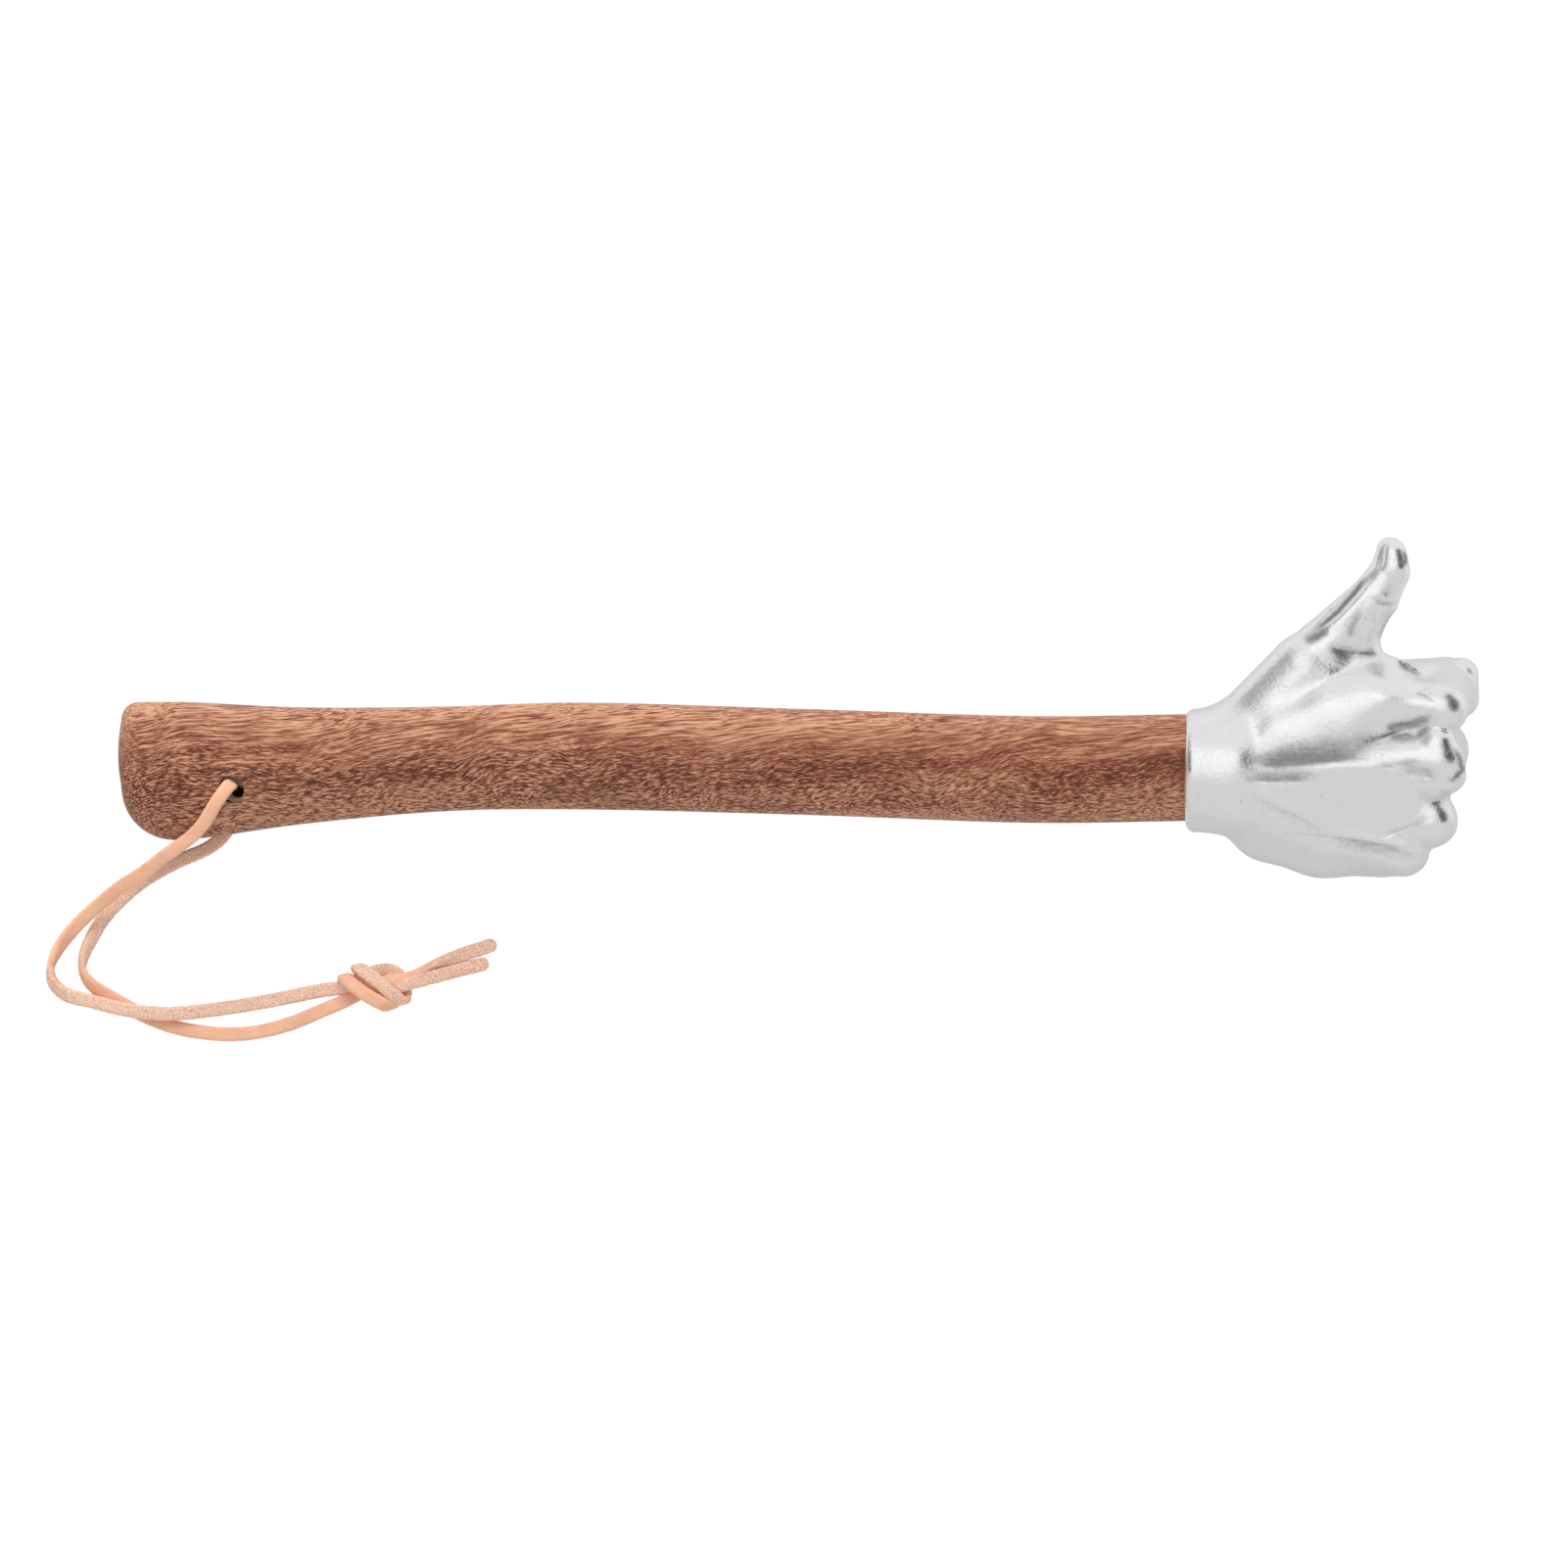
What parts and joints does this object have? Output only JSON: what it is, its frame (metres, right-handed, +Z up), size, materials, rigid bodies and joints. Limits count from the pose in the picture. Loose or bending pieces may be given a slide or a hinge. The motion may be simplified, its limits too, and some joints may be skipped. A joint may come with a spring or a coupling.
{
  "type": "fist-headed mallet",
  "caption": "Hand mallet with a cast metal thumbs-up fist for its head, a shaped wooden handle and a knotted leather thong through the butt to hang it by.",
  "frame": {"origin": "middle of the mallet's own box without its thong, at the level of the surface it lies on", "axes": "+X along the handle from the butt to the fist, +Y towards the thumb, +Z up, the way the back of the hand faces"},
  "size_m": [0.348, 0.1219, 0.0426],
  "materials": {
    "casting": "bare tumbled casting",
    "wood": "sanded and oiled",
    "steel": "plain",
    "leather": "natural"
  },
  "bodies": {
    "mallet": {"fist_head": "casting", "handle": "wood", "head_stud": "steel"},
    "thong": {"thong_front": "leather", "thong_back": "leather"}
  },
  "joints": [
    {"name": "thong_swing", "type": "hinge", "parent": "mallet", "child": "thong", "pos_m": [-0.13717, -0.02002, 0.0138], "axis": [0, 0, 1], "range_deg": [-6, 36]}
  ]
}
